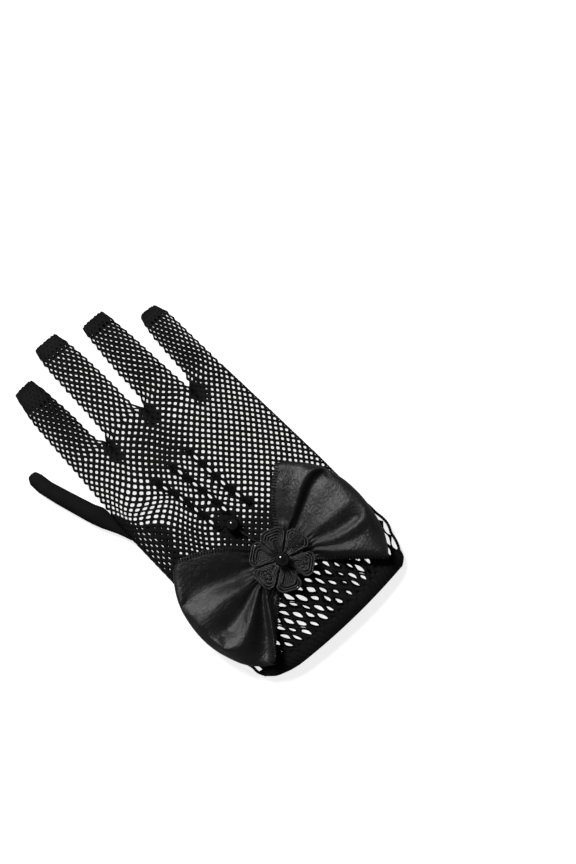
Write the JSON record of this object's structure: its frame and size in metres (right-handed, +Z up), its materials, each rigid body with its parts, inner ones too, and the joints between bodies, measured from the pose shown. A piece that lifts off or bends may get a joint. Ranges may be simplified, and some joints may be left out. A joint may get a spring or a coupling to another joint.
{
  "type": "lace glove",
  "caption": "Right-hand black net glove lying flat, with full fingers, point seams on the back and a satin ribbon bow under a beaded braid flower at the wrist.",
  "frame": {"origin": "under the middle of the palm, on the surface that the glove lies on", "axes": "+Y along the fingers towards their tips, +X towards the little finger, +Z up out of the back of the hand"},
  "size_m": [0.124, 0.2099, 0.0229],
  "materials": {
    "net": "knitted net, matt black",
    "satin": "black satin ribbon, soft sheen",
    "braid": "black corded braid, low sheen",
    "bead": "polished black"
  },
  "bodies": {
    "root": {"hand_net": "net", "thumb": "net", "cuff_net": "net", "cuff_hem": "net", "point_seam_1": "net", "point_seam_2": "net", "point_seam_3": "net", "bow_loop_left": "satin", "bow_loop_right": "satin", "petal_1": "braid", "petal_2": "braid", "petal_3": "braid", "petal_4": "braid", "petal_5": "braid", "petal_6": "braid", "centre_bead": "bead", "drop_bead": "bead", "drop_stem": "braid"}
  },
  "joints": []
}
